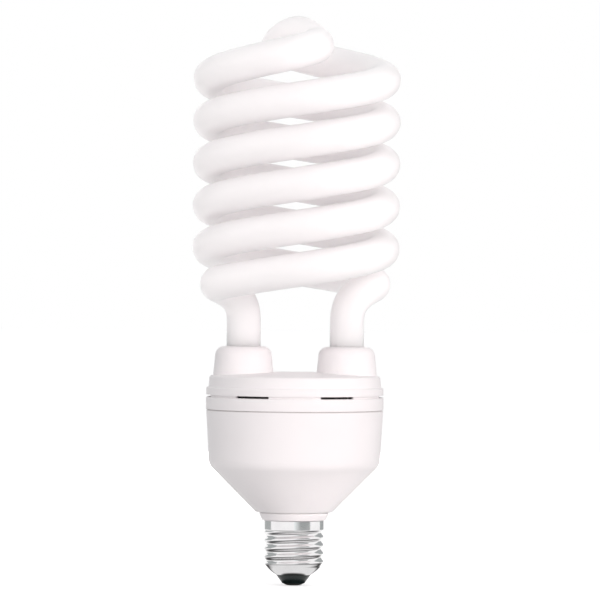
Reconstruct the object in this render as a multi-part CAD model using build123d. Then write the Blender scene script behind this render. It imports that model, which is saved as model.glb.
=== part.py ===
from build123d import *
import os
from math import cos, pi, radians, sin, sqrt

# Spiral energy saving bulb with an E27 screw cap, in millimetres.
# The Z axis is the lamp's axis, +Z points from the cap to the tip of the spiral, -Y is the front.
# The origin is the lowest face of the centre contact, on the axis.

# Screw cap
contact_d = 9.2
contact_flat_d = 4.6
contact_h = 0.9
contact_bulge = 0.06
contact_stem_d = 3.0
contact_stem_len = 2.6
glass_len = 3.7
glass_ledge = 0.3
glass_high_d = 15.0
glass_plug_inset = 0.5
glass_plug_len = 3.0
shell_len = 24.1
shell_wall = 0.4
dome_len = 4.4
dome_bulge = 0.1
thread_crest_d = 26.2
thread_depth = 1.0
thread_pitch = 25.4 / 7
thread_start = 125.0
skirt_len = 4.8
skirt_step = 0.05

# Housing
plastic_wall = 2.0
fit = 0.15
neck_wall = 1.6
neck_reach = 14.7
ring_step = 0.75
ring_flare = 1.2
ring_h = 3.1
ring_band_h = 0.5
neck_groove_h = 0.4
neck_groove_depth = 0.8
cone_step = 1.7
cone_edge_r = 0.6
knuckle_r = 6.0
body_h = 24.0
body_draft = 1.35
seam_chamfer = 0.35
seam_gap = 0.3
seam_depth = 0.8
spigot_wall = 1.5
spigot_h = 4.0
hook_ledge_h = 2.0
collar_lip = 0.15
collar_h = 5.7
collar_wall = 2.2
lug_recess = 1.2
vent_h = 1.0
vent_count = 6
vent_arc = 25.0
rim_inset = 0.1
rim_h = 3.1
rim_edge_r = 0.8
rim_step_h = 0.4
cover_step = 1.0
cover_draft = 0.4
cover_wall_h = 4.8
cover_edge_r = 1.4
cover_crown = 1.7
rib_count = 6
rib_t = 1.6
rib_reach = 4.5
hook_count = 3
hook_arc = 18.0
hook_t = 1.5
hook_barb = 1.1
hook_barb_h = 1.8

# Cups that hold the legs of the tube
leg_spacing = 45.2
cup_margin = 1.4
cup_draft = 1.35
cup_wall = 1.45
cup_h = 11.1
cup_shoulder_r = 4.0
cup_top_t = 2.2
cup_gap = 0.3
cement_t = 3.1
cement_h = 4.5

# Discharge tube
tube_d = 15.0
coil_d = 91.0
band_spacing = 18.5
strand_turns = 2.5
coil_rise = 35.7
bend_from = 63.0
bend_start = 11.9
bend_leg_pull = 18.3
bend_coil_pull = 40.0
crown_coil_pull = 34.1
crown_knob_pull = 42.3
knob_x = 8.6
knob_y = -13.0
knob_rise = 14.9
knob_slope = 0.09
knob_apex_pull = 7.1
apex_rise = 20.4
apex_turn = 51.5
apex_knob_pull = 5.8
leg_end_drop = 5.5
leg_end_r = 3.0
nipple_d = 3.0
nipple_len = 4.0

# Ballast inside the housing
board_drop = 5.0
board_d = 70.0
board_gap = 0.4
board_t = 1.6
wire_d = 0.8
part_leg_d = 0.8
part_leg_len = 2.0
layout_gap = 3.0
core_w = 20.0
core_depth = 6.0
core_half_h = 9.0
core_back = 2.8
core_side = 2.8
core_centre = 5.0
bobbin_wall = 0.8
bobbin_flange_t = 1.0
bobbin_flange_depth = 14.0
bobbin_gap = 0.2
winding_inset = 0.6
choke_y = 8.0
capacitor_d = 16.0
capacitor_len = 25.0
capacitor_edge_r = 0.8
capacitor_groove_z = 3.5
capacitor_groove_r = 0.5
capacitor_y = 10.0
toroid_d = 13.0
toroid_bore_d = 7.0
toroid_h = 5.0
toroid_wire = 0.6
toroid_winding_arc = 70.0
toroid_winding_count = 3
toroid_y = -20.0
transistor_w = 10.0
transistor_t = 4.5
transistor_h = 15.0
transistor_chamfer = 0.75
transistor_legs = 3
transistor_pitch = 2.54
transistor_x = 17.5
transistor_y = -17.5
film_w = 12.0
film_t = 5.5
film_h = 11.0
film_edge_r = 1.5
film_leg_inset = 1.6
film_x = 22.5
film_y = -6.0
starter_d = 9.0
starter_t = 4.0
starter_y = -9.0
drum_d = 9.0
drum_h = 10.0
drum_flange_t = 1.5
drum_core_d = 4.5
drum_winding_d = 8.0
drum_y = 24.0
diode_d = 2.7
diode_len = 5.2
diode_span = 9.0
diode_spacing = 4.5
diode_count = 4
diode_y = 14.0
fuse_d = 4.0
fuse_cap_d = 4.6
fuse_cap_len = 1.6
fuse_len = 10.0
fuse_z = 21.0
pin_d = 1.0
pin_h = 7.5
lead_span = 6.4
wrap_len = 3.0
wrap_t = 0.5
wrap_cap = 0.4
neutral_drop = 1.2
neutral_bend_share = 0.6
neutral_angle = -40.0

# Screw cap and neck, each tied to the piece it meets
glass_low_d = contact_d + 2 * glass_ledge
glass_plug_d = glass_high_d - 2 * glass_plug_inset
thread_root_d = thread_crest_d - 2 * thread_depth
skirt_r = thread_crest_d / 2 + skirt_step
ring_low_d = 2 * (skirt_r + ring_step)
ring_high_d = ring_low_d + 2 * ring_flare
neck_groove_d = ring_high_d - 2 * neck_groove_depth
cone_low_d = ring_high_d + 2 * cone_step

# Cups round the legs, and the housing, which is as wide as the board and the cups need
cup_bore_d = tube_d + 2 * cement_t
cup_high_d = cup_bore_d + 2 * cup_wall
cup_low_d = cup_high_d + 2 * cup_draft
knuckle_for_board = board_d + 2 * (board_gap + plastic_wall)
knuckle_for_cups = leg_spacing + cup_low_d + 2 * cup_margin
knuckle_d = max(knuckle_for_board, knuckle_for_cups)
body_top_d = knuckle_d + 2 * body_draft
collar_d = body_top_d + 2 * collar_lip
rim_d = collar_d - 2 * rim_inset
cover_low_d = rim_d - 2 * cover_step
cover_high_d = cover_low_d - 2 * cover_draft

# Heights along the axis, from the contact upwards
shell_z = contact_h + glass_len
shell_top = shell_z + shell_len
skirt_z = shell_top - skirt_len
ring_top = shell_top + ring_h
cone_z = ring_top + neck_groove_h
knuckle_z = cone_z + (knuckle_d - cone_low_d) / 2
case_top = knuckle_z + body_h
collar_top = case_top + collar_h
rim_z = collar_top + vent_h
rim_top = rim_z + rim_h
cover_z = rim_top + rim_step_h
cover_edge_z = cover_z + cover_wall_h
cover_top = cover_edge_z + cover_crown
cup_top = cover_top + cup_h
board_top = case_top - board_drop
board_z = board_top - board_t
leg_end_z = cover_edge_z - plastic_wall - leg_end_drop

# Radii that mating pieces share
thread_r = (thread_crest_d + thread_root_d) / 4
thread_throw = thread_depth / 2
shell_bore_r = thread_root_d / 2 - shell_wall
skirt_bore_r = skirt_r - shell_wall
neck_r = shell_bore_r - fit
neck_bore_r = neck_r - neck_wall
collar_bore_r = collar_d / 2 - collar_wall
spigot_r = collar_bore_r - fit
spigot_bore_r = spigot_r - spigot_wall
hook_r = spigot_bore_r - fit
tube_r = tube_d / 2
leg_x = leg_spacing / 2


def outline(*points):
    """Closed face in the X-Z plane, from (radius, height) points."""
    return Plane.XZ * make_face(Polyline(*points, close=True))


def rounded(face, *corners):
    """The face with each (radius, height, rounding) corner rounded."""
    for r, z, rounding in corners:
        corner = face.vertices().sort_by_distance((r, 0, z))[0]
        face = fillet(corner, rounding)
    return face


def turned(face):
    """Solid of revolution about the lamp's axis."""
    return revolve(face, Axis.Z)


def disc(d, z0, z1, x=0.0, y=0.0):
    """Upright cylinder between two heights."""
    return Pos(x, y, z0) * Cylinder(d / 2, z1 - z0, align=(Align.CENTER, Align.CENTER, Align.MIN))


def block(w, depth, z0, z1, x=0.0, y=0.0):
    """Upright box between two heights, centred on x and y."""
    return Pos(x, y, z0) * Box(w, depth, z1 - z0, align=(Align.CENTER, Align.CENTER, Align.MIN))


def sector(arc, reach, z0, z1, angle):
    """Wedge of a round slab about the axis, its middle at the given angle."""
    slab = revolve(outline((0, z0), (reach, z0), (reach, z1), (0, z1)), Axis.Z, arc)
    return Rot(0, 0, angle - arc / 2) * slab


def bulged(low, high, bulge):
    """Arc between two profile points, bulging outwards and down by a share of its chord."""
    run = high[0] - low[0]
    rise = high[1] - low[1]
    middle = ((low[0] + high[0]) / 2 + bulge * rise, (low[1] + high[1]) / 2 - bulge * run)
    return ThreePointArc(low, middle, high)


# Contact button: a flat face at the very bottom, a rounded rim and a stem up into the glass.
def make_centre_contact():
    flat = contact_flat_d / 2
    rim = contact_d / 2
    rim_curve = bulged((flat, 0), (rim, contact_h), contact_bulge)
    rest = Polyline((rim, contact_h), (0, contact_h), (0, 0), (flat, 0))
    button = turned(Plane.XZ * make_face(rim_curve.edges() + rest.edges()))
    return button + disc(contact_stem_d, contact_h, contact_h + contact_stem_len)


# Black glass cone, fused into the mouth of the shell, with a hole for the contact's stem.
def make_cap_insulator():
    cone = turned(outline(
        (0, contact_h),
        (glass_low_d / 2, contact_h),
        (glass_high_d / 2, shell_z),
        (glass_plug_d / 2, shell_z),
        (glass_plug_d / 2, shell_z + glass_plug_len),
        (0, shell_z + glass_plug_len),
    ))
    stem_hole = disc(contact_stem_d, contact_h, contact_h + contact_stem_len)
    lead_hole = disc(2 * wire_d, contact_h + contact_stem_len, shell_z + glass_plug_len)
    return cone - stem_hole - lead_hole


def shell_dome(inset):
    """Curve of the shell's lower end, from the glass out to the thread's root, moved in by the wall."""
    low = (glass_high_d / 2, shell_z + inset)
    high = (thread_root_d / 2 - inset, shell_z + dome_len)
    return low, high, bulged(low, high, dome_bulge)


# Screw shell. A round thread of this kind is a disc carried along a thin helix without turning:
# its edge moves in and out by the helix radius once in each pitch.
def make_screw_shell():
    thread_top = skirt_z + thread_pitch / 2
    thread_axis = Helix(thread_pitch, thread_top - shell_z, thread_throw)
    thread_axis = Pos(0, 0, shell_z) * Rot(0, 0, thread_start) * thread_axis
    section = Plane(origin=thread_axis @ 0, z_dir=(0, 0, 1)) * Circle(thread_r)
    threaded = sweep(section, path=thread_axis, normal=(0, 0, 1))
    low, high, dome = shell_dome(0)
    run_in = thread_crest_d / 2 + 2 * skirt_step
    envelope = Polyline(
        high,
        (run_in, shell_z + dome_len + run_in - high[0]),
        (run_in, thread_top),
        (0, thread_top),
        (0, shell_z),
        low,
    )
    threaded = threaded & turned(Plane.XZ * make_face(dome.edges() + envelope.edges()))
    skirt = turned(outline(
        (0, skirt_z - thread_throw),
        (thread_root_d / 2 - skirt_step, skirt_z - thread_throw),
        (skirt_r, skirt_z + thread_throw),
        (skirt_r, shell_top),
        (0, shell_top),
    ))
    low, high, dome = shell_dome(shell_wall)
    hollow = Polyline(
        high,
        (shell_bore_r, skirt_z),
        (skirt_bore_r, skirt_z + 2 * thread_throw),
        (skirt_bore_r, shell_top),
        (0, shell_top),
        (0, low[1]),
        low,
    )
    bore = turned(Plane.XZ * make_face(dome.edges() + hollow.edges()))
    mouth = disc(glass_plug_d, shell_z, shell_z + shell_wall)
    return threaded + skirt - bore - mouth


# Case: neck inside the shell, neck ring, cone, body, and the spigot that the collar sits on.
def make_ballast_case():
    neck_z = shell_top - neck_reach
    skirt_neck_r = skirt_bore_r - fit
    body_r = body_top_d / 2
    flare = plastic_wall * sqrt(2)
    bore_cone_r = knuckle_d / 2 - plastic_wall
    bore_knuckle_z = knuckle_z + flare - plastic_wall
    bore_neck_z = bore_knuckle_z - (bore_cone_r - neck_bore_r)
    ledge_z = case_top - hook_ledge_h
    step_z = skirt_z + 2 * thread_throw
    shape = outline(
        (neck_bore_r, neck_z),
        (neck_r, neck_z),
        (neck_r, step_z),
        (skirt_neck_r, step_z + skirt_neck_r - neck_r),
        (skirt_neck_r, shell_top),
        (ring_low_d / 2, shell_top),
        (ring_high_d / 2, ring_top - ring_band_h),
        (ring_high_d / 2, ring_top),
        (neck_groove_d / 2, ring_top),
        (neck_groove_d / 2, cone_z),
        (cone_low_d / 2, cone_z),
        (knuckle_d / 2, knuckle_z),
        (body_r, case_top - seam_chamfer),
        (body_r - seam_chamfer, case_top),
        (spigot_r, case_top),
        (spigot_r, case_top + spigot_h),
        (spigot_bore_r, case_top + spigot_h),
        (spigot_bore_r, ledge_z),
        (body_r - plastic_wall, ledge_z),
        (bore_cone_r, bore_knuckle_z),
        (neck_bore_r, bore_neck_z),
    )
    case = turned(rounded(
        shape,
        (cone_low_d / 2, cone_z, cone_edge_r),
        (knuckle_d / 2, knuckle_z, knuckle_r),
        (bore_cone_r, bore_knuckle_z, knuckle_r - plastic_wall),
    ))
    # Ribs stand on the cone, follow the wall and carry the board on their upper ends.
    fin = outline(
        (board_d / 2 - rib_reach, board_z),
        (board_d / 2 - rib_reach, board_d / 2 - rib_reach + bore_knuckle_z - bore_cone_r - plastic_wall / 2),
        (bore_cone_r + plastic_wall / 2, bore_knuckle_z),
        (bore_cone_r + plastic_wall / 2, board_z),
    )
    for index in range(rib_count):
        rib = extrude(fin, rib_t / 2, both=True)
        case += Rot(0, 0, index * 360 / rib_count) * rib
    return case


# Collar: a ring with a shadow gap at the seam with the case, and set-back lugs on top, which leave
# the vent slots between them.
def make_vent_collar():
    outer = collar_d / 2
    lug_r = outer - lug_recess
    ring = turned(outline(
        (collar_bore_r, case_top),
        (outer - seam_depth, case_top),
        (outer - seam_depth, case_top + seam_gap),
        (outer, case_top + seam_gap),
        (outer, collar_top - seam_chamfer),
        (outer - seam_chamfer, collar_top),
        (lug_r, collar_top),
        (lug_r, rim_z),
        (collar_bore_r, rim_z),
    ))
    for index in range(vent_count):
        ring -= sector(vent_arc, outer, collar_top, rim_z, index * 360 / vent_count)
    return ring


def crown_arc(edge_r, z):
    """Arc of the crowned plate, from its edge at height z in to the axis."""
    ball = (edge_r**2 + cover_crown**2) / (2 * cover_crown)
    half = edge_r / 2
    half_z = z + cover_crown - ball + sqrt(ball**2 - half**2)
    return ThreePointArc((edge_r, z), (half, half_z), (0, z + cover_crown))


# Cover plate, slightly crowned, with a stepped rim, a cup for each leg and three snap hooks.
def make_tube_holder():
    rim_r = rim_d / 2
    edge_r = cover_high_d / 2
    side = Polyline(
        (0, cover_top),
        (0, rim_z),
        (rim_r, rim_z),
        (rim_r, rim_top),
        (cover_low_d / 2, cover_z),
        (edge_r, cover_edge_z),
    )
    plate = turned(rounded(
        Plane.XZ * make_face(crown_arc(edge_r, cover_edge_z).edges() + side.edges()),
        (rim_r, rim_top, rim_edge_r),
        (edge_r, cover_edge_z, cover_edge_r),
    ))
    hollow_r = edge_r - plastic_wall
    hollow_z = cover_edge_z - plastic_wall
    hollow = Polyline((0, hollow_z + cover_crown), (0, rim_z), (hollow_r, rim_z), (hollow_r, hollow_z))
    holder = plate - turned(Plane.XZ * make_face(crown_arc(hollow_r, hollow_z).edges() + hollow.edges()))
    cup = turned(rounded(
        outline(
            (0, hollow_z + plastic_wall / 2),
            (cup_low_d / 2, hollow_z + plastic_wall / 2),
            (cup_high_d / 2, cup_top),
            (0, cup_top),
        ),
        (cup_high_d / 2, cup_top, cup_shoulder_r),
    ))
    for side in (-1, 1):
        holder += Pos(side * leg_x, 0, 0) * Rot(0, 0, 90) * cup
    for side in (-1, 1):
        x = side * leg_x
        holder -= disc(cup_bore_d, rim_z, cup_top - cup_top_t, x)
        holder -= disc(tube_d + 2 * cup_gap, rim_z, cup_top, x)
    # Each hook hangs from the plate, passes inside the spigot and catches under its ledge.
    catch_z = case_top - hook_ledge_h - fit
    hook = outline(
        (hook_r - hook_t, board_top + fit),
        (hook_r, board_top + fit),
        (hook_r + hook_barb, catch_z - hook_barb_h / 2),
        (hook_r + hook_barb, catch_z),
        (hook_r, catch_z),
        (hook_r, hollow_z + plastic_wall / 2),
        (hook_r - hook_t, hollow_z + plastic_wall / 2),
    )
    for index in range(hook_count):
        angle = 90 + index * 360 / hook_count
        holder += Rot(0, 0, angle - hook_arc / 2) * revolve(hook, Axis.Z, hook_arc)
    return holder


# Cement ring between a leg and the inside of its cup.
def make_tube_cement(side):
    top = cup_top - cup_top_t
    ring = disc(cup_bore_d, top - cement_h, top) - disc(tube_d, top - cement_h, top)
    return Pos(side * leg_x, 0, 0) * ring


# Centreline of one strand: leg, bend into the coil, coil, crown up to a knob, and half of the tip's S.
def strand_path():
    radius = (coil_d - tube_d) / 2
    pitch = 2 * band_spacing
    climb = pitch / (2 * pi)
    coil_z = cover_top + coil_rise
    start = radians(bend_from)
    coil_len = pitch * strand_turns - climb * start
    coil = Pos(0, 0, coil_z + climb * start) * Rot(0, 0, bend_from) * Helix(pitch, coil_len, radius)
    coil_top = coil_z + pitch * strand_turns
    bend_z = coil_z - bend_start
    leg = Line((leg_x, 0, leg_end_z), (leg_x, 0, bend_z))
    bend = Bezier(
        (leg_x, 0, bend_z),
        (leg_x, 0, bend_z + bend_leg_pull),
        coil @ 0 - (coil % 0) * bend_coil_pull,
        coil @ 0,
    )
    knob = Vector(knob_x, knob_y, coil_top + knob_rise)
    back = Vector(0, 1, knob_slope).normalized()
    crown = Bezier(coil @ 1, coil @ 1 + (coil % 1) * crown_coil_pull, knob - back * crown_knob_pull, knob)
    apex = Vector(0, 0, coil_top + apex_rise)
    into_apex = Vector(-1, 0, 0).rotate(Axis.Z, -apex_turn)
    tip = Bezier(knob, knob + back * knob_apex_pull, apex - into_apex * apex_knob_pull, apex)
    return Wire([leg, bend, coil, crown, tip])


# Discharge tube: the strand and its half-turn copy meet at the middle of the tip, and each leg is
# sealed by a rounded end with the stub of its exhaust tube.
def make_discharge_tube():
    path = strand_path()
    section = Plane(origin=path @ 0, z_dir=path % 0) * Circle(tube_r)
    strand = sweep(section, path=path)
    seal = strand.faces().sort_by(Axis.Z)[0].edges()
    strand = fillet(seal, leg_end_r)
    strand += disc(nipple_d, leg_end_z - nipple_len, leg_end_z + leg_end_r, leg_x)
    return strand + Rot(0, 0, 180) * strand


def make_circuit_board():
    return disc(board_d, board_z, board_top)


choke_x = -(layout_gap + core_w / 2)
core_mid_z = board_z - core_half_h
window_h = 2 * (core_half_h - core_back)
bobbin_flange_w = core_w - 2 * core_side - 2 * bobbin_gap


def core_half():
    """E-shaped ferrite half, its back up, meeting the other half at its lower face."""
    window_w = (core_w - core_centre) / 2 - core_side
    half = block(core_w, core_depth, 0, core_half_h)
    for side in (-1, 1):
        window_x = side * (core_centre + window_w) / 2
        half -= block(window_w, core_depth, 0, core_half_h - core_back, window_x)
    return half


def make_choke_core_upper():
    return Pos(choke_x, choke_y, core_mid_z) * core_half()


def make_choke_core_lower():
    return Pos(choke_x, choke_y, core_mid_z) * Rot(180, 0, 0) * core_half()


def bobbin_tube_size(extra):
    """Width and depth of the bobbin's tube round the ferrite's middle leg."""
    return core_centre + 2 * bobbin_gap + extra, core_depth + 2 * bobbin_gap + extra


def make_choke_bobbin():
    low = core_mid_z - window_h / 2
    high = core_mid_z + window_h / 2
    spool = block(*bobbin_tube_size(2 * bobbin_wall), low, high)
    for z in (low, high - bobbin_flange_t):
        spool += block(bobbin_flange_w, bobbin_flange_depth, z, z + bobbin_flange_t)
    spool -= block(*bobbin_tube_size(0), low, high)
    return Pos(choke_x, choke_y, 0) * spool


def make_choke_winding():
    low = core_mid_z - window_h / 2 + bobbin_flange_t
    high = core_mid_z + window_h / 2 - bobbin_flange_t
    width = bobbin_flange_w - 2 * winding_inset
    coil = block(width, bobbin_flange_depth - 2 * winding_inset, low, high)
    coil = fillet(coil.edges().filter_by(Axis.Z), 2 * winding_inset)
    coil -= block(*bobbin_tube_size(2 * bobbin_wall), low, high)
    return Pos(choke_x, choke_y, 0) * coil


# Smoothing capacitor: a sleeved can with a rolled groove near its sealed end, which is at the board.
def make_smoothing_capacitor():
    r = capacitor_d / 2
    can = turned(rounded(
        outline((0, board_z), (0, board_z - capacitor_len), (r, board_z - capacitor_len), (r, board_z)),
        (r, board_z - capacitor_len, capacitor_edge_r),
        (r, board_z, capacitor_edge_r),
    ))
    can -= Pos(0, 0, board_z - capacitor_groove_z) * Torus(r, capacitor_groove_r)
    return Pos(layout_gap + r, capacitor_y, 0) * can


def make_drive_toroid_core():
    top = board_z - toroid_wire
    ring = disc(toroid_d, top - toroid_h, top) - disc(toroid_bore_d, top - toroid_h, top)
    return Pos(0, toroid_y, 0) * ring


def make_drive_toroid_windings():
    top = board_z - toroid_wire
    outer_d = toroid_d + 2 * toroid_wire
    bore_d = toroid_bore_d - 2 * toroid_wire
    low = top - toroid_h - toroid_wire
    wrap = disc(outer_d, low, board_z) - disc(bore_d, low, board_z)
    wrap -= disc(toroid_d, top - toroid_h, top) - disc(toroid_bore_d, top - toroid_h, top)
    windings = []
    for index in range(toroid_winding_count):
        angle = 90 + index * 360 / toroid_winding_count
        windings += (wrap & sector(toroid_winding_arc, outer_d, low, board_z, angle)).solids()
    return Pos(0, toroid_y, 0) * Part(children=windings)


def legs(count, pitch):
    """Row of wire legs from the board down to a part."""
    row = Part()
    for index in range(count):
        row += disc(part_leg_d, board_z - part_leg_len, board_z, (index - (count - 1) / 2) * pitch)
    return row


# Power transistor: a plastic body that hangs from the board on three legs.
def make_transistor(side):
    top = board_z - part_leg_len
    body = block(transistor_w, transistor_t, top - transistor_h, top)
    body = chamfer(body.faces().sort_by(Axis.Z)[0].edges(), transistor_chamfer)
    body += legs(transistor_legs, transistor_pitch)
    return Pos(side * transistor_x, transistor_y, 0) * body


# Dipped film capacitor on two legs.
def make_film_capacitor(side):
    top = board_z - part_leg_len
    body = block(film_w, film_t, top - film_h, top)
    body = fillet(body.edges(), film_edge_r)
    body += legs(2, film_w - 2 * film_leg_inset)
    return Pos(side * film_x, film_y, 0) * body


# Ceramic starting disc, on edge, on two legs.
def make_starter_disc():
    centre_z = board_z - part_leg_len / 2 - starter_d / 2
    body = Pos(0, 0, centre_z) * Rot(90, 0, 0) * Cylinder(starter_d / 2, starter_t)
    body += legs(2, starter_d / 2)
    return Pos(0, starter_y, 0) * body


def make_filter_choke_core():
    low = board_z - drum_h
    drum = disc(drum_core_d, low, board_z)
    drum += disc(drum_d, low, low + drum_flange_t)
    drum += disc(drum_d, board_z - drum_flange_t, board_z)
    return Pos(0, drum_y, 0) * drum


def make_filter_choke_winding():
    low = board_z - drum_h + drum_flange_t
    high = board_z - drum_flange_t
    return Pos(0, drum_y, 0) * (disc(drum_winding_d, low, high) - disc(drum_core_d, low, high))


# Rectifier diodes lie in a row on the board's upper side, each on one wire bent down at both ends.
def make_rectifier_diodes():
    axis_z = board_top + diode_d / 2
    low_y = diode_y - diode_span / 2
    high_y = diode_y + diode_span / 2
    diodes = []
    for index in range(diode_count):
        x = (index - (diode_count - 1) / 2) * diode_spacing
        wire = FilletPolyline(
            (x, low_y, board_top),
            (x, low_y, axis_z),
            (x, high_y, axis_z),
            (x, high_y, board_top),
            radius=part_leg_d,
        )
        diode = sweep(Plane(origin=wire @ 0, z_dir=wire % 0) * Circle(part_leg_d / 2), path=wire)
        diode += Pos(x, diode_y, axis_z) * Rot(90, 0, 0) * Cylinder(diode_d / 2, diode_len)
        diodes += diode.solids()
    return Part(children=diodes)


# Fuse resistor with pressed end caps, in the live lead inside the neck.
def make_fuse_resistor():
    body = disc(fuse_d, fuse_z, fuse_z + fuse_len)
    body += disc(fuse_cap_d, fuse_z, fuse_z + fuse_cap_len)
    body += disc(fuse_cap_d, fuse_z + fuse_len - fuse_cap_len, fuse_z + fuse_len)
    return body


def make_live_lead():
    stem_top = contact_h + contact_stem_len
    lower = disc(wire_d, stem_top, fuse_z)
    upper = disc(wire_d, fuse_z + fuse_len, board_z)
    return Part(children=[lower.solid(), upper.solid()])


# Neutral lead: down inside the neck, round its lower edge and out to the shell.
def make_neutral_lead():
    turn_z = shell_top - neck_reach - neutral_drop
    inside = neck_bore_r - wire_d
    contact_r = shell_bore_r - fit
    direction = Vector(cos(radians(neutral_angle)), sin(radians(neutral_angle)), 0)
    path = FilletPolyline(
        direction * inside + Vector(0, 0, board_z),
        direction * inside + Vector(0, 0, turn_z),
        direction * contact_r + Vector(0, 0, turn_z),
        radius=(contact_r - inside) * neutral_bend_share,
    )
    return sweep(Plane(origin=path @ 0, z_dir=path % 0) * Circle(wire_d / 2), path=path)


def lead_places():
    """Where the four filament wires leave the two tube ends."""
    return [(side * leg_x, end * lead_span / 2) for side in (-1, 1) for end in (-1, 1)]


def make_board_pins():
    pins = [disc(pin_d, board_top, board_top + pin_h, x, y).solid() for x, y in lead_places()]
    return Part(children=pins)


# Each filament lead runs from the sealed end of a leg to its pin and is wrapped round it.
def make_filament_leads():
    pin_top = board_top + pin_h
    leads = []
    for x, y in lead_places():
        lead = disc(wire_d, pin_top, leg_end_z, x, y)
        lead += disc(pin_d + 2 * wrap_t, pin_top - wrap_len, pin_top + wrap_cap, x, y)
        lead -= disc(pin_d, pin_top - wrap_len, pin_top, x, y)
        leads += lead.solids()
    return Part(children=leads)


nodes = {
    "centre_contact": make_centre_contact(),
    "cap_insulator": make_cap_insulator(),
    "screw_shell": make_screw_shell(),
    "ballast_case": make_ballast_case(),
    "vent_collar": make_vent_collar(),
    "tube_holder": make_tube_holder(),
    "tube_cement_left": make_tube_cement(-1),
    "tube_cement_right": make_tube_cement(1),
    "discharge_tube": make_discharge_tube(),
    "circuit_board": make_circuit_board(),
    "choke_core_upper": make_choke_core_upper(),
    "choke_core_lower": make_choke_core_lower(),
    "choke_bobbin": make_choke_bobbin(),
    "choke_winding": make_choke_winding(),
    "smoothing_capacitor": make_smoothing_capacitor(),
    "drive_toroid_core": make_drive_toroid_core(),
    "drive_toroid_windings": make_drive_toroid_windings(),
    "transistor_left": make_transistor(-1),
    "transistor_right": make_transistor(1),
    "blocking_capacitor": make_film_capacitor(-1),
    "resonance_capacitor": make_film_capacitor(1),
    "starter_disc": make_starter_disc(),
    "filter_choke_core": make_filter_choke_core(),
    "filter_choke_winding": make_filter_choke_winding(),
    "rectifier_diodes": make_rectifier_diodes(),
    "fuse_resistor": make_fuse_resistor(),
    "live_lead": make_live_lead(),
    "neutral_lead": make_neutral_lead(),
    "board_pins": make_board_pins(),
    "filament_leads": make_filament_leads(),
}

os.makedirs("parts", exist_ok=True)
for name, solid in nodes.items():
    export_step(solid, f"parts/{name}.step")
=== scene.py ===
import math

import bmesh
import bpy
import numpy as np
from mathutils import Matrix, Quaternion, Vector


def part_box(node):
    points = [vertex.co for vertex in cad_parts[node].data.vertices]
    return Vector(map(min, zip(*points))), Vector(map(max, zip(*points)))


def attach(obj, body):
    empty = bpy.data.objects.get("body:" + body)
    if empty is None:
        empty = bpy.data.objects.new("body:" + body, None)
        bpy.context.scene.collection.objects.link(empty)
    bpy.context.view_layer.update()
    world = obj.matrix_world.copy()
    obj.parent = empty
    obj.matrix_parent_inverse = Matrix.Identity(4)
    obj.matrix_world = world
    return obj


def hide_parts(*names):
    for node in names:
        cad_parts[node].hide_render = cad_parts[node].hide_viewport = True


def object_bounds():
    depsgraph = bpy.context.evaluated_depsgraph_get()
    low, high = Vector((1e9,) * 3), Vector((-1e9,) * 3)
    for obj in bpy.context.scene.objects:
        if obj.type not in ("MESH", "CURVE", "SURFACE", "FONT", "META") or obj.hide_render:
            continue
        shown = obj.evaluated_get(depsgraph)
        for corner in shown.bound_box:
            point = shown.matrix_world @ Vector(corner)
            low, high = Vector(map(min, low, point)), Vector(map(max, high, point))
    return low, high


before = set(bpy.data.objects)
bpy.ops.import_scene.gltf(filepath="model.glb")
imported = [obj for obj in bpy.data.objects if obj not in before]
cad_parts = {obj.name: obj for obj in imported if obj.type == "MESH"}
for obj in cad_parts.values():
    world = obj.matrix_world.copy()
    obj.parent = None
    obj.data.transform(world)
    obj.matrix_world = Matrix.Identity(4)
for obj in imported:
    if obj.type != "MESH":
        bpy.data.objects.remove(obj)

cad_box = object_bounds()


# Housing: case, collar and cover
# Three white thermoplastic mouldings that snap together round the ballast. Their surface is the
# fine spark grain of the mould, and a painted shade darkens the joint between case and collar.
mm = 0.001


def effect(name, inputs, outputs):
    """Empty shader node group with named value sockets; returns the group and its two end nodes."""
    group = bpy.data.node_groups.new(name, "ShaderNodeTree")
    for socket, value in inputs.items():
        made = group.interface.new_socket(socket, in_out="INPUT", socket_type="NodeSocketFloat")
        made.default_value = value
    for socket in outputs:
        group.interface.new_socket(socket, in_out="OUTPUT", socket_type="NodeSocketFloat")
    return group, group.nodes.new("NodeGroupInput"), group.nodes.new("NodeGroupOutput")


def add_node(tree, kind, values=None, links=None):
    """New node with set sockets and with outputs of other nodes linked into its sockets."""
    node = tree.nodes.new(kind)
    for socket, value in (values or {}).items():
        node.inputs[socket].default_value = value
    for socket, source in (links or {}).items():
        tree.links.new(source, node.inputs[socket])
    return node


clouds_and_grain, group_in, group_out = effect(
    "clouds and grain", {"Cloud Scale": 40.0, "Grain Scale": 3000.0}, ("Cloud", "Grain"))
place = clouds_and_grain.nodes.new("ShaderNodeTexCoord").outputs["Object"]
cloud = add_node(clouds_and_grain, "ShaderNodeTexNoise", {"Detail": 3.0, "Roughness": 0.55},
                 {"Vector": place, "Scale": group_in.outputs["Cloud Scale"]})
grain = add_node(clouds_and_grain, "ShaderNodeTexNoise", {"Detail": 4.0, "Roughness": 0.6},
                 {"Vector": place, "Scale": group_in.outputs["Grain Scale"]})
clouds_and_grain.links.new(cloud.outputs["Fac"], group_out.inputs["Cloud"])
clouds_and_grain.links.new(grain.outputs["Fac"], group_out.inputs["Grain"])


cloud_limits = (0.3, 0.7)


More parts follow.
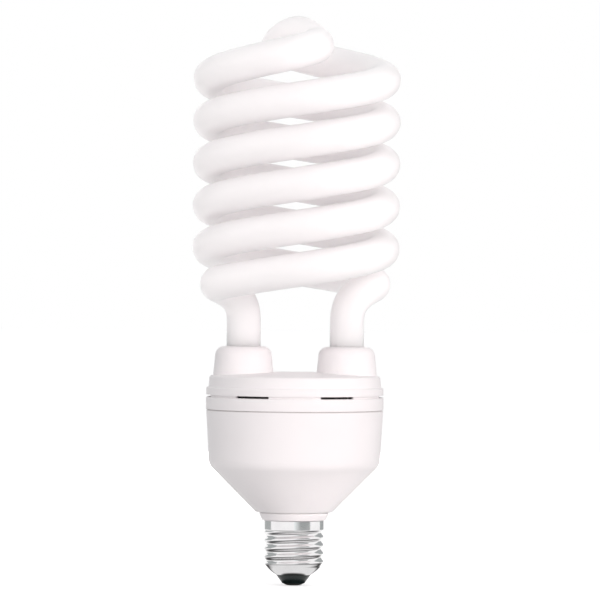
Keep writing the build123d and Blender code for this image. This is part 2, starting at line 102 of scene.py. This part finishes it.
def finish(name, tones, roughness, cloud_scale, grain_scale, grain_depth, sockets=None):
    """Material that drifts in clouds between two tones and two roughnesses, under a fine grain."""
    made = bpy.data.materials.new(name)
    made.use_nodes = True
    tree = made.node_tree
    shader = tree.nodes["Principled BSDF"]
    pattern = tree.nodes.new("ShaderNodeGroup")
    pattern.node_tree = clouds_and_grain
    pattern.inputs["Cloud Scale"].default_value = cloud_scale
    pattern.inputs["Grain Scale"].default_value = grain_scale
    tone = tree.nodes.new("ShaderNodeValToRGB")
    for stop, limit, color in zip(tone.color_ramp.elements, cloud_limits, tones):
        stop.position = limit
        stop.color = (*color, 1.0)
    tree.links.new(pattern.outputs["Cloud"], tone.inputs["Fac"])
    tree.links.new(tone.outputs["Color"], shader.inputs["Base Color"])
    dullness = add_node(
        tree, "ShaderNodeMapRange", {"To Min": roughness[0], "To Max": roughness[1]},
        {"Value": pattern.outputs["Cloud"]})
    tree.links.new(dullness.outputs["Result"], shader.inputs["Roughness"])
    relief = add_node(tree, "ShaderNodeBump", {"Strength": 1.0, "Distance": grain_depth},
                      {"Height": pattern.outputs["Grain"]})
    tree.links.new(relief.outputs["Normal"], shader.inputs["Normal"])
    for socket, value in (sockets or {}).items():
        shader.inputs[socket].default_value = value
    return made


def dress(node, material, sharp_angle=28.0):
    """Gives a CAD node its material and smooth shading between its sharp edges."""
    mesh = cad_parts[node].data
    mesh.materials.clear()
    mesh.materials.append(material)
    mesh.shade_smooth()
    mesh.set_sharp_from_angle(angle=math.radians(sharp_angle))


housing_plastic = finish(
    "housing_plastic", ((0.915, 0.893, 0.898), (0.935, 0.913, 0.918)), (0.4, 0.5),
    cloud_scale=35.0, grain_scale=4500.0, grain_depth=0.012 * mm,
    sockets={"Specular IOR Level": 0.45})
seam_gap = 0.3 * mm
# Painted shade: a thin band at the seam's height is mixed to a darker tone, standing in for the
# shadow in the joint.
seam_painted_shade = (0.6, 0.572, 0.566, 1.0)
seam_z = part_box("vent_collar")[0].z + seam_gap / 2
tree = housing_plastic.node_tree
place = tree.nodes.new("ShaderNodeTexCoord").outputs["Object"]
height = add_node(tree, "ShaderNodeSeparateXYZ", {}, {"Vector": place})
in_seam = add_node(
    tree, "ShaderNodeMath", {1: seam_z, 2: seam_gap / 2}, {0: height.outputs["Z"]})
in_seam.operation = "COMPARE"
seam_shaded = tree.nodes.new("ShaderNodeMix")
seam_shaded.data_type = "RGBA"
plain_tone, seam_shade_tone = (socket for socket in seam_shaded.inputs if socket.type == "RGBA")
seam_shade_tone.default_value = seam_painted_shade
surface_tone = tree.nodes["Principled BSDF"].inputs["Base Color"]
tree.links.new(in_seam.outputs["Value"], seam_shaded.inputs["Factor"])
tree.links.new(surface_tone.links[0].from_socket, plain_tone)
tree.links.new(next(socket for socket in seam_shaded.outputs if socket.type == "RGBA"), surface_tone)
for node in ("ballast_case", "vent_collar", "tube_holder"):
    dress(node, housing_plastic)


# Screw shell
# Thin sheet, pressed to the round E27 thread and nickel plated. It is crimped to the neck of the
# case at its plain skirt, and its lower mouth holds the black glass.
shell_low, shell_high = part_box("screw_shell")
shell_steps = 160
inch = 25.4 * mm
thread_pitch = inch / 7
thread_start = math.radians(125.0)
thread_middle_radius = 12.6 * mm
thread_throw = 0.5 * mm
dome_height = 3.9 * mm
dome_bulge = 0.1
mouth_radius = 7.0 * mm
dome_low_radius = 7.5 * mm
skirt_height = 4.8 * mm
skirt_edge = 0.5 * mm
edge_steps = 4
run_in_rounding = 0.5 * mm
skirt_rounding = 0.25 * mm
shell_wall = 0.4 * mm
shell_sharp_angle = math.radians(50.0)
skirt_radius = shell_high.x
skirt_z = shell_high.z - skirt_height
thread_root = thread_middle_radius - thread_throw
row_step = 0.16 * mm


def blunt_min(a, b, rounding):
    """The lesser of two radii, with the corner where they cross rounded off."""
    share = np.clip(0.5 + 0.5 * (b - a) / rounding, 0.0, 1.0)
    return b + (a - b) * share - rounding * share * (1.0 - share)


def dome_radius(z):
    """Radius of the shell's rounded lower end at a height, on a shallow arc."""
    rise = np.clip((z - shell_low.z) / dome_height, 0.0, 1.0)
    straight = dome_low_radius + (thread_root - dome_low_radius) * rise
    return straight + 4.0 * dome_bulge * dome_height * rise * (1.0 - rise)


def shell_radius(turn, z):
    """Outer radius of the shell: dome, then thread, then skirt."""
    phase = turn - thread_start - 2.0 * math.pi * (z - shell_low.z) / thread_pitch
    thread = thread_middle_radius + thread_throw * np.cos(phase) - max(z - skirt_z, 0.0)
    run_in = dome_radius(z) + np.clip(z - shell_low.z - dome_height, 0.0, None)
    threaded = blunt_min(thread, run_in, run_in_rounding)
    skirt = skirt_radius + min(z - skirt_z - thread_throw, 0.0)
    return -blunt_min(-threaded, -skirt, skirt_rounding)


def ring_mesh(name, rings, capped):
    """Closed mesh through rings of points, capped with fans or joined end to end."""
    count = len(rings[0])
    mesh = bpy.data.meshes.new(name)
    build = bmesh.new()
    rows = [[build.verts.new(point) for point in ring] for ring in rings]
    for low, high in zip(rows, rows[1:] if capped else rows[1:] + rows[:1]):
        for index in range(count):
            following = (index + 1) % count
            build.faces.new((low[index], low[following], high[following], high[index]))
    if capped:
        for row, ring in ((rows[0][::-1], rings[0]), (rows[-1], rings[-1])):
            middle = build.verts.new(np.mean(ring, axis=0))
            for index in range(count):
                build.faces.new((row[index], row[(index + 1) % count], middle))
    build.to_mesh(mesh)
    build.free()
    mesh.shade_smooth()
    made = bpy.data.objects.new(name, mesh)
    bpy.context.scene.collection.objects.link(made)
    return made


def ring_at(radius, z, turns):
    """Ring of points at one height, with one radius or a radius for each point."""
    radius = np.broadcast_to(radius, turns.shape)
    height = np.full(turns.shape, z)
    return np.column_stack((radius * np.cos(turns), radius * np.sin(turns), height))


shell_turns = np.linspace(0.0, 2.0 * math.pi, shell_steps, endpoint=False)
shell_heights = np.arange(shell_low.z, shell_high.z - skirt_edge, row_step)
shell_rings = [ring_at(shell_radius(shell_turns, z), z, shell_turns) for z in shell_heights]
for step in range(edge_steps + 1):
    lean = math.radians(90.0 * step / edge_steps)
    edge_z = shell_high.z - skirt_edge * (1.0 - math.sin(lean))
    edge_radius = skirt_radius - skirt_edge * (1.0 - math.cos(lean))
    shell_rings.append(ring_at(edge_radius, edge_z, shell_turns))
skirt_bore = skirt_radius - shell_wall
thread_bore = thread_root - shell_wall
for radius, z in (
    (skirt_bore, shell_high.z),
    (skirt_bore, skirt_z + 2.0 * thread_throw),
    (thread_bore, skirt_z),
    (thread_bore, shell_low.z + dome_height),
    (dome_low_radius, shell_low.z + shell_wall),
    (mouth_radius, shell_low.z + shell_wall),
    (mouth_radius, shell_low.z),
):
    shell_rings.append(ring_at(radius, z, shell_turns))
shell = ring_mesh("plated_shell", shell_rings, capped=False)
shell.data.set_sharp_from_angle(angle=shell_sharp_angle)

cap_metal = finish(
    "cap_metal", ((0.86, 0.845, 0.85), (0.93, 0.92, 0.925)), (0.07, 0.14),
    cloud_scale=120.0, grain_scale=6000.0, grain_depth=0.002 * mm,
    sockets={"Metallic": 1.0})
shell.data.materials.append(cap_metal)
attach(shell, "root")
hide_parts("screw_shell")


# Glass insulator and centre contact
# Black glass is poured into the mouth of the shell as a cone and holds the contact's stem. The
# contact is a stamped, plated button.
black_glass = finish(
    "black_glass", ((0.006, 0.012, 0.012), (0.01, 0.017, 0.017)), (0.06, 0.14),
    cloud_scale=300.0, grain_scale=2500.0, grain_depth=0.006 * mm,
    sockets={"IOR": 1.45})
dress("cap_insulator", black_glass)

contact_metal = finish(
    "contact_metal", ((0.66, 0.65, 0.63), (0.78, 0.77, 0.75)), (0.25, 0.4),
    cloud_scale=500.0, grain_scale=5000.0, grain_depth=0.004 * mm,
    sockets={"Metallic": 1.0})
dress("centre_contact", contact_metal)


# Discharge tube
# One glass tube, bent hot to two legs, a right-handed double spiral and an S-shaped tip. A white
# powder coats it inside, so it looks like satin porcelain. Cement holds the legs in their cups.
tube_low, tube_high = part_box("discharge_tube")
tube_radius = 7.5 * mm
tube_steps = 48
tube_ring_gap = 1.8 * mm
coil_radius = tube_high.x - tube_radius
coil_pitch = 37.0 * mm
coil_turns = 2.5
coil_from = math.radians(63.0)
leg_offset = 22.6 * mm
bend_drop = 11.9 * mm
bend_leg_pull = 18.3 * mm
bend_coil_pull = 40.0 * mm
crown_coil_pull = 34.1 * mm
crown_knob_pull = 42.3 * mm
knob_place = Vector((8.6, -13.0, 14.9)) * mm
knob_climb = 0.09
knob_apex_pull = 7.1 * mm
apex_rise = 20.4 * mm
apex_turn = math.radians(51.5)
apex_knob_pull = 5.8 * mm
seal_rounding = 3.0 * mm
seal_steps = 6
leg_points = 60
bend_points = 200
coil_points = 1500
smoothing_passes = 3
smoothing_share = 0.25
stub_radius = 1.5 * mm
stub_length = 4.0 * mm
coil_top = tube_high.z - tube_radius - apex_rise
coil_z = coil_top - coil_pitch * coil_turns
leg_end_z = tube_low.z + stub_length


def bezier(a, b, c, d):
    """Points along a cubic curve, without its first point."""
    t = np.linspace(0.0, 1.0, bend_points)[1:, None]
    a, b, c, d = (np.array(point) for point in (a, b, c, d))
    return a * (1 - t) ** 3 + 3 * b * t * (1 - t) ** 2 + 3 * c * t * t * (1 - t) + d * t**3


def coil_point(turn):
    """Point on the centreline of the right leg's spiral."""
    return Vector((
        coil_radius * math.cos(turn),
        coil_radius * math.sin(turn),
        coil_z + coil_pitch * turn / (2.0 * math.pi),
    ))


def coil_direction(turn):
    """Direction of the spiral's centreline."""
    climb = coil_pitch / (2.0 * math.pi)
    return Vector((-coil_radius * math.sin(turn), coil_radius * math.cos(turn), climb)).normalized()


coil_to = 2.0 * math.pi * coil_turns
leg_top = Vector((leg_offset, 0.0, coil_z - bend_drop))
knob = knob_place + Vector((0.0, 0.0, coil_top))
back = Vector((0.0, 1.0, knob_climb)).normalized()
apex = Vector((0.0, 0.0, coil_top + apex_rise))
into_apex = Vector((-math.cos(apex_turn), math.sin(apex_turn), 0.0))
strand = np.vstack((
    np.linspace((leg_offset, 0.0, leg_end_z), leg_top, leg_points),
    bezier(leg_top, leg_top + Vector((0.0, 0.0, bend_leg_pull)),
           coil_point(coil_from) - coil_direction(coil_from) * bend_coil_pull,
           coil_point(coil_from)),
    np.array([coil_point(turn) for turn in np.linspace(coil_from, coil_to, coil_points)[1:]]),
    bezier(coil_point(coil_to), coil_point(coil_to) + coil_direction(coil_to) * crown_coil_pull,
           knob - back * crown_knob_pull, knob),
    bezier(knob, knob + back * knob_apex_pull, apex - into_apex * apex_knob_pull, apex),
))
centreline = np.vstack((strand, (strand * (-1.0, -1.0, 1.0))[-2::-1]))


def evenly_spaced(points, gap):
    """The same line with points at an even spacing close to the given gap."""
    run = np.concatenate(([0.0], np.cumsum(np.linalg.norm(np.diff(points, axis=0), axis=1))))
    places = np.linspace(0.0, run[-1], round(run[-1] / gap) + 1)
    return np.column_stack([np.interp(places, run, points[:, axis]) for axis in range(3)])


centreline = evenly_spaced(centreline, tube_ring_gap)
for _ in range(smoothing_passes):
    unevenness = centreline[:-2] - 2.0 * centreline[1:-1] + centreline[2:]
    centreline[1:-1] += smoothing_share * unevenness
directions = np.gradient(centreline, axis=0)
directions /= np.linalg.norm(directions, axis=1)[:, None]
side = np.array((0.0, 1.0, 0.0))
tube_turns = np.linspace(0.0, 2.0 * math.pi, tube_steps, endpoint=False)[:, None]
tube_rings = []
for middle, direction in zip(centreline, directions):
    side = side - direction * side.dot(direction)
    side /= np.linalg.norm(side)
    across = np.cross(direction, side)
    spokes = np.cos(tube_turns) * side + np.sin(tube_turns) * across
    tube_rings.append(middle + tube_radius * spokes)
seal = [(-stub_length, stub_radius), (0.0, stub_radius)]
for step in range(seal_steps):
    lean = math.radians(90.0 * step / seal_steps)
    inset = seal_rounding * (1.0 - math.sin(lean))
    seal.append((seal_rounding * (1.0 - math.cos(lean)), tube_radius - inset))


def sealed_end(ring):
    """Rings of a leg's rounded, sealed end with its exhaust stub, from the stub upwards."""
    middle = ring.mean(axis=0)
    spokes = (ring - middle) / tube_radius
    return [middle + (0.0, 0.0, height) + spokes * radius for height, radius in seal]


above_seal = [ring for ring in tube_rings if ring[:, 2].mean() > leg_end_z + seal_rounding]
tube_rings = sealed_end(tube_rings[0]) + above_seal + sealed_end(tube_rings[-1])[::-1]
tube = ring_mesh("spiral_tube", tube_rings, capped=True)

coated_glass = finish(
    "coated_glass", ((0.965, 0.928, 0.936), (0.98, 0.943, 0.951)), (0.3, 0.4),
    cloud_scale=60.0, grain_scale=900.0, grain_depth=0.004 * mm,
    sockets={"Coat Weight": 0.25, "Coat Roughness": 0.08, "Specular IOR Level": 0.4,
             "Subsurface Weight": 1.0, "Subsurface Scale": 20.0 * mm,
             "Subsurface Radius": (1.0, 1.0, 1.0)})
tube.data.materials.append(coated_glass)
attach(tube, "root")
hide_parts("discharge_tube")

cement = finish(
    "cement", ((0.7, 0.67, 0.6), (0.8, 0.77, 0.7)), (0.7, 0.9),
    cloud_scale=300.0, grain_scale=2500.0, grain_depth=0.08 * mm)
dress("tube_cement_left", cement)
dress("tube_cement_right", cement)


# Ballast
# The electronics on a round paper-laminate board that rests on the ribs of the case, with the tall
# parts hanging into the cone. Leads run to the screw shell, the contact and the tube's ends.
board = finish(
    "board", ((0.42, 0.29, 0.13), (0.5, 0.36, 0.17)), (0.5, 0.65),
    cloud_scale=150.0, grain_scale=2000.0, grain_depth=0.02 * mm)
ferrite = finish(
    "ferrite", ((0.018, 0.018, 0.02), (0.035, 0.034, 0.036)), (0.5, 0.7),
    cloud_scale=400.0, grain_scale=5000.0, grain_depth=0.02 * mm)
copper = finish(
    "copper", ((0.52, 0.18, 0.07), (0.62, 0.26, 0.11)), (0.25, 0.35),
    cloud_scale=600.0, grain_scale=2200.0, grain_depth=0.1 * mm, sockets={"Metallic": 1.0})
black_plastic = finish(
    "black_plastic", ((0.012, 0.012, 0.013), (0.022, 0.022, 0.024)), (0.45, 0.6),
    cloud_scale=300.0, grain_scale=4000.0, grain_depth=0.01 * mm)
capacitor_sleeve = finish(
    "capacitor_sleeve", ((0.006, 0.009, 0.02), (0.012, 0.016, 0.032)), (0.25, 0.35),
    cloud_scale=200.0, grain_scale=1500.0, grain_depth=0.01 * mm)
film_coating = finish(
    "film_coating", ((0.16, 0.025, 0.01), (0.22, 0.04, 0.016)), (0.2, 0.3),
    cloud_scale=250.0, grain_scale=900.0, grain_depth=0.03 * mm)
disc_coating = finish(
    "disc_coating", ((0.42, 0.22, 0.04), (0.5, 0.28, 0.06)), (0.4, 0.5),
    cloud_scale=300.0, grain_scale=1200.0, grain_depth=0.03 * mm)
resistor_coating = finish(
    "resistor_coating", ((0.1, 0.16, 0.13), (0.14, 0.21, 0.17)), (0.45, 0.6),
    cloud_scale=400.0, grain_scale=2500.0, grain_depth=0.03 * mm)
lead_wire = finish(
    "lead_wire", ((0.55, 0.54, 0.5), (0.66, 0.65, 0.61)), (0.3, 0.4),
    cloud_scale=600.0, grain_scale=4000.0, grain_depth=0.01 * mm, sockets={"Metallic": 1.0})
for material, members in (
    (board, ("circuit_board",)),
    (ferrite, ("choke_core_upper", "choke_core_lower", "drive_toroid_core", "filter_choke_core")),
    (copper, ("choke_winding", "drive_toroid_windings", "filter_choke_winding")),
    (black_plastic, ("choke_bobbin", "transistor_left", "transistor_right", "rectifier_diodes")),
    (capacitor_sleeve, ("smoothing_capacitor",)),
    (film_coating, ("blocking_capacitor", "resonance_capacitor")),
    (disc_coating, ("starter_disc",)),
    (resistor_coating, ("fuse_resistor",)),
    (lead_wire, ("live_lead", "neutral_lead", "board_pins", "filament_leads")),
):
    for node in members:
        dress(node, material)


# Floor and light
# A pale matt floor in an even white surround, with a large soft lamp at the front right, two weaker
# ones, and gridded lamps that lift the spiral and the cone. Grey cards round the lamp and tones on
# the floor, which only reflections see, put the dark bands on the plated cap and the black glass.
def plane(name, width, height, middle, facing):
    """Flat rectangle that faces along a direction."""
    mesh = bpy.data.meshes.new(name)
    signs = ((-1, -1), (1, -1), (1, 1), (-1, 1))
    corners = [(x * width / 2, y * height / 2, 0.0) for x, y in signs]
    mesh.from_pydata(corners, [], [(0, 1, 2, 3)])
    made = bpy.data.objects.new(name, mesh)
    made.rotation_mode = "QUATERNION"
    made.rotation_quaternion = Vector(facing).to_track_quat("Z", "Y")
    made.location = middle
    bpy.context.scene.collection.objects.link(made)
    return made


floor_size = 12.0
floor_drop = 0.05 * mm
floor_tone = (0.72, 0.72, 0.72, 1.0)
floor_lift = 0.55
mirrored_reach = 100.0 * mm
# Glossy rays see these tones on the floor instead of its lit paper: painted reflections, with
# painted shadow close round the cap and in a second dark ring, between light rings and white
# beyond.
mirrored_rings = ((6.6, 0.03), (7.8, 0.8), (15.0, 0.8), (21.0, 0.09), (28.0, 0.09), (50.0, 1.0))
floor = plane("floor", floor_size, floor_size, (0.0, 0.0, -floor_drop), (0.0, 0.0, 1.0))
floor_paper = bpy.data.materials.new("floor_paper")
floor_paper.use_nodes = True
tree = floor_paper.node_tree
tree.nodes.remove(tree.nodes["Principled BSDF"])
sight = tree.nodes.new("ShaderNodeLightPath")
paper = add_node(tree, "ShaderNodeBsdfDiffuse", {"Color": floor_tone})
lift = add_node(tree, "ShaderNodeMath", {1: floor_lift}, {0: sight.outputs["Is Camera Ray"]})
lift.operation = "MULTIPLY"
glow = add_node(tree, "ShaderNodeEmission", {}, {"Strength": lift.outputs["Value"]})
both = tree.nodes.new("ShaderNodeAddShader")
tree.links.new(paper.outputs["BSDF"], both.inputs[0])
tree.links.new(glow.outputs["Emission"], both.inputs[1])
spot = tree.nodes.new("ShaderNodeNewGeometry")
reach = add_node(tree, "ShaderNodeVectorMath", {}, {0: spot.outputs["Position"]})
reach.operation = "LENGTH"
span = add_node(tree, "ShaderNodeMapRange", {"From Max": mirrored_reach},
                {"Value": reach.outputs["Value"]})
tone = add_node(tree, "ShaderNodeValToRGB", {}, {"Fac": span.outputs["Result"]})
ramp = tone.color_ramp
for index, (radius, level) in enumerate(mirrored_rings):
    stop = ramp.elements[index] if index < len(ramp.elements) else ramp.elements.new(1.0)
    stop.position = radius * mm / mirrored_reach
    stop.color = (level, level, level, 1.0)
mirrored = add_node(tree, "ShaderNodeEmission", {}, {"Color": tone.outputs["Color"]})
choice = add_node(tree, "ShaderNodeMixShader", {}, {"Fac": sight.outputs["Is Glossy Ray"]})
tree.links.new(both.outputs["Shader"], choice.inputs[1])
tree.links.new(mirrored.outputs["Emission"], choice.inputs[2])
tree.links.new(choice.outputs["Shader"], tree.nodes["Material Output"].inputs["Surface"])
floor.data.materials.append(floor_paper)

world = bpy.data.worlds.new("studio")
bpy.context.scene.world = world
world.use_nodes = True
tree = world.node_tree
ambient = tree.nodes["Background"]
ambient.inputs["Color"].default_value = (0.99, 0.99, 1.0, 1.0)
ambient.inputs["Strength"].default_value = 0.64
white = add_node(tree, "ShaderNodeBackground", {"Color": (1.0, 1.0, 1.0, 1.0), "Strength": 1.0})
sight = tree.nodes.new("ShaderNodeLightPath")
seen = sight.outputs["Is Camera Ray"]
for other in ("Is Glossy Ray", "Is Transmission Ray"):
    either = add_node(tree, "ShaderNodeMath", {}, {0: seen, 1: sight.outputs[other]})
    either.operation = "MAXIMUM"
    seen = either.outputs["Value"]
choice = add_node(tree, "ShaderNodeMixShader", {}, {"Fac": seen})
tree.links.new(ambient.outputs["Background"], choice.inputs[1])
tree.links.new(white.outputs["Background"], choice.inputs[2])
tree.links.new(choice.outputs["Shader"], tree.nodes["World Output"].inputs["Surface"])

object_middle = (cad_box[0] + cad_box[1]) / 2


def towards(azimuth, elevation, distance, middle=object_middle):
    """Place at a distance from a middle; azimuth 0 is the camera's side, 90 is its right."""
    turn, lift = math.radians(azimuth), math.radians(elevation)
    level = math.cos(lift)
    way = Vector((math.sin(turn) * level, -math.cos(turn) * level, math.sin(lift)))
    return middle + way * distance


# Place and size in metres, power in watts; a grid on a lamp narrows its spread, in degrees.
warm = (1.0, 0.915, 0.91)
spiral_middle = Vector((0.0, 0.0, (coil_z + tube_high.z) / 2))
cone_middle = Vector((0.0, 0.0, 40.0 * mm))
for name, middle, azimuth, elevation, distance, size, power, spread in (
    ("key_lamp", object_middle, 36.0, 11.0, 1.6, (1.2, 0.7), 12.8, 180.0),
    ("fill_lamp", object_middle, -25.0, 3.0, 1.6, (1.0, 0.4), 3.0, 180.0),
    ("back_lamp", object_middle, 180.0, 6.0, 1.6, (0.6, 0.5), 8.0, 180.0),
    ("left_grid_lamp", spiral_middle, -95.0, 0.0, 0.4, (0.3, 0.14), 0.045, 5.0),
    ("right_grid_lamp", spiral_middle, 95.0, 0.0, 0.4, (0.3, 0.14), 0.034, 5.0),
    ("low_grid_lamp", cone_middle, 45.0, 0.0, 0.3, (0.3, 0.02), 0.0042, 3.0),
):
    light = bpy.data.lights.new(name, "AREA")
    light.shape = "RECTANGLE"
    light.size, light.size_y = size
    light.energy = power
    light.color = warm
    light.spread = math.radians(spread)
    lamp = bpy.data.objects.new(name, light)
    lamp.location = towards(azimuth, elevation, distance, middle)
    lamp.rotation_mode = "QUATERNION"
    lamp.rotation_quaternion = (middle - lamp.location).to_track_quat("-Z", "Y")
    lamp.visible_glossy = False
    bpy.context.scene.collection.objects.link(lamp)

card_color = (0.95, 1.0, 1.0, 1.0)
card_distance = 0.35
card_height = 0.6
for name, azimuth, spread, tone, soft in (
    ("front_card", 33.0, 64.0, 0.34, 0.4),
    ("right_card", 140.0, 44.0, 0.42, 0.05),
    ("left_card", -122.0, 50.0, 0.42, 0.05),
):
    middle = towards(azimuth, 0.0, card_distance)
    width = 2.0 * card_distance * math.tan(math.radians(spread / 2))
    card = plane(name, width, card_height, middle, object_middle - middle)
    paint = bpy.data.materials.new(name)
    paint.use_nodes = True
    tree = paint.node_tree
    tree.nodes.remove(tree.nodes["Principled BSDF"])
    place = tree.nodes.new("ShaderNodeTexCoord").outputs["Generated"]
    across = add_node(tree, "ShaderNodeSeparateXYZ", {}, {"Vector": place})
    shade = add_node(
        tree, "ShaderNodeMapRange",
        {"From Min": 1.0, "From Max": 1.0 - soft, "To Min": 1.0, "To Max": tone},
        {"Value": across.outputs["X"]})
    glow = add_node(tree, "ShaderNodeEmission", {"Color": card_color},
                    {"Strength": shade.outputs["Result"]})
    tree.links.new(glow.outputs["Emission"], tree.nodes["Material Output"].inputs["Surface"])
    card.data.materials.append(paint)
    card.visible_camera = False
    card.visible_diffuse = False
    card.visible_shadow = False
    card.visible_transmission = False


# Camera
# A long lens far in front, level with the middle of the lamp and rolled a little to the left. Its
# focal length follows from the width that the picture takes in at the lamp.
view_width = 262.8 * mm
camera_distance = 3.0
camera_elevation = 0.8
camera_roll = math.radians(0.45)
aim = Vector((1.95 * mm, 0.0, 125.0 * mm))
camera_data = bpy.data.cameras.new("camera")
camera_data.sensor_width = 36.0
camera_data.lens = camera_data.sensor_width * camera_distance / view_width
camera = bpy.data.objects.new("camera", camera_data)
camera.location = towards(0.0, camera_elevation, camera_distance, aim)
camera.rotation_mode = "QUATERNION"
look = (aim - camera.location).to_track_quat("-Z", "Y")
camera.rotation_quaternion = look @ Quaternion((0.0, 0.0, 1.0), camera_roll)
bpy.context.scene.collection.objects.link(camera)
bpy.context.scene.camera = camera
bpy.context.scene.view_settings.view_transform = "Standard"
